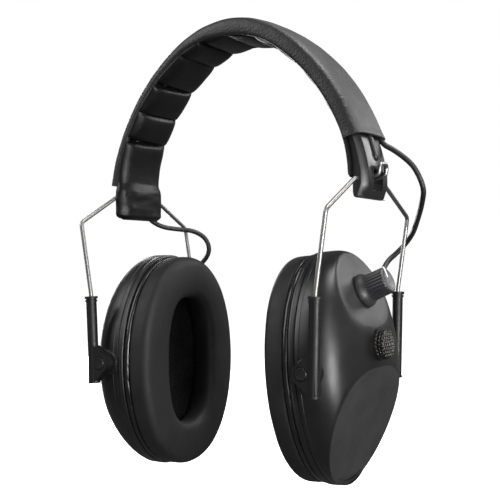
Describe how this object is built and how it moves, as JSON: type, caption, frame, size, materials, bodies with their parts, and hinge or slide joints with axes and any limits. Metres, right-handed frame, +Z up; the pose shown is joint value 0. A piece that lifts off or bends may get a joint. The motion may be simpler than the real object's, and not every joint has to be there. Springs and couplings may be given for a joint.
{
  "type": "earmuff hearing protector",
  "caption": "Folding electronic earmuff: padded headband, wire yokes, sliding carriages, tilting ear cups, volume knob and linking cable.",
  "frame": {"origin": "midway between the two cups' pivot-pin axes, at the height of the ears", "axes": "+Z up through the crown of the headband, +X towards the cup with the volume knob, -Y towards the wearer's face"},
  "size_m": [0.1596, 0.0929, 0.2141],
  "materials": {
    "leatherette": "grained satin black",
    "pad_skin": "satin black",
    "cushion_skin": "matt black",
    "spring_steel": "rolled",
    "bright_wire": "bright",
    "rivet_metal": "satin",
    "satin_plastic": "satin black",
    "slider_plastic": "satin black",
    "shell_plastic": "satin black",
    "ring_plastic": "gloss black",
    "knob_plastic": "satin black",
    "white_mark": "white",
    "acoustic_foam": "open-cell black foam",
    "baffle_plastic": "black",
    "speaker_metal": "grey",
    "mic_metal": "black",
    "mesh_metal": "dark woven mesh",
    "screw_steel": "zinc",
    "cable_rubber": "matt black",
    "board_laminate": "green",
    "pot_metal": "plated",
    "cell_steel": "bright",
    "contact_brass": "plated"
  },
  "bodies": {
    "headband": {"headband_cover": "leatherette", "headband_pad": "pad_skin", "headband_spring": "spring_steel", "band_rivets": "rivet_metal", "end_block_right": "satin_plastic", "end_block_left": "satin_plastic", "cable_in_band": "cable_rubber", "cable_right_upper": "cable_rubber", "cable_left_upper": "cable_rubber"},
    "yoke_right": {"yoke_wire_right": "bright_wire", "cable_right_middle": "cable_rubber"},
    "carriage_right": {"slider_front_right": "slider_plastic", "slider_rear_right": "slider_plastic"},
    "cup_right": {"cup_shell_right": "shell_plastic", "rim_ring_right": "shell_plastic", "cushion_plate_right": "ring_plastic", "cushion_right": "cushion_skin", "foam_liner_right": "acoustic_foam", "baffle_right": "baffle_plastic", "speaker_right": "speaker_metal", "mic_housing_right": "shell_plastic", "mic_capsule_right": "mic_metal", "mic_screen_right": "mesh_metal", "cable_grommet_right": "cable_rubber", "pivot_pins_right": "satin_plastic", "shell_screws_right": "screw_steel", "cable_right_lower": "cable_rubber", "circuit_board": "board_laminate", "potentiometer": "pot_metal", "pot_nut": "pot_metal"},
    "yoke_left": {"yoke_wire_left": "bright_wire", "cable_left_middle": "cable_rubber"},
    "carriage_left": {"slider_front_left": "slider_plastic", "slider_rear_left": "slider_plastic"},
    "cup_left": {"cup_shell_left": "shell_plastic", "rim_ring_left": "shell_plastic", "cushion_plate_left": "ring_plastic", "cushion_left": "cushion_skin", "foam_liner_left": "acoustic_foam", "baffle_left": "baffle_plastic", "speaker_left": "speaker_metal", "mic_housing_left": "shell_plastic", "mic_capsule_left": "mic_metal", "mic_screen_left": "mesh_metal", "cable_grommet_left": "cable_rubber", "pivot_pins_left": "satin_plastic", "shell_screws_left": "screw_steel", "cable_left_lower": "cable_rubber", "battery_tray": "satin_plastic", "coin_cells": "cell_steel", "battery_contact": "contact_brass"},
    "knob": {"volume_knob": "knob_plastic", "knob_pointer": "white_mark"},
    "battery_cap": {"battery_cap": "shell_plastic"}
  },
  "joints": [
    {"name": "fold_right", "type": "hinge", "parent": "headband", "child": "yoke_right", "pos_m": [0.066, 0, 0.0813], "axis": [0, 1, 0], "range_deg": [0, 26], "deforming": ["cable_right_upper"]},
    {"name": "fold_left", "type": "hinge", "parent": "headband", "child": "yoke_left", "pos_m": [-0.066, 0, 0.0813], "axis": [0, 1, 0], "range_deg": [-26, 0], "deforming": ["cable_left_upper"]},
    {"name": "height_right", "type": "slide", "parent": "yoke_right", "child": "carriage_right", "axis": [0.039, 0, 0.9992], "range_m": [-0.028, 0], "deforming": ["cable_right_middle"]},
    {"name": "height_left", "type": "slide", "parent": "yoke_left", "child": "carriage_left", "axis": [0.039, 0, -0.9992], "range_m": [0, 0.028], "deforming": ["cable_left_middle"]},
    {"name": "tilt_right", "type": "hinge", "parent": "carriage_right", "child": "cup_right", "pos_m": [0.0542, 0, 0], "axis": [0, -1, 0], "range_deg": [-12, 12], "deforming": ["cable_right_lower"]},
    {"name": "tilt_left", "type": "hinge", "parent": "carriage_left", "child": "cup_left", "pos_m": [-0.0542, 0, 0], "axis": [0, -1, 0], "range_deg": [-12, 12], "deforming": ["cable_left_lower"]},
    {"name": "volume_turn", "type": "hinge", "parent": "cup_right", "child": "knob", "pos_m": [0.06191, 0, 0.03257], "axis": [0.9225, 0, 0.3859], "range_deg": [-150, 150]},
    {"name": "battery_cap_turn", "type": "hinge", "parent": "cup_left", "child": "battery_cap", "pos_m": [-0.06301, 0, -0.01855], "axis": [-0.9298, 0, -0.3681], "range_deg": [0, 60]}
  ]
}
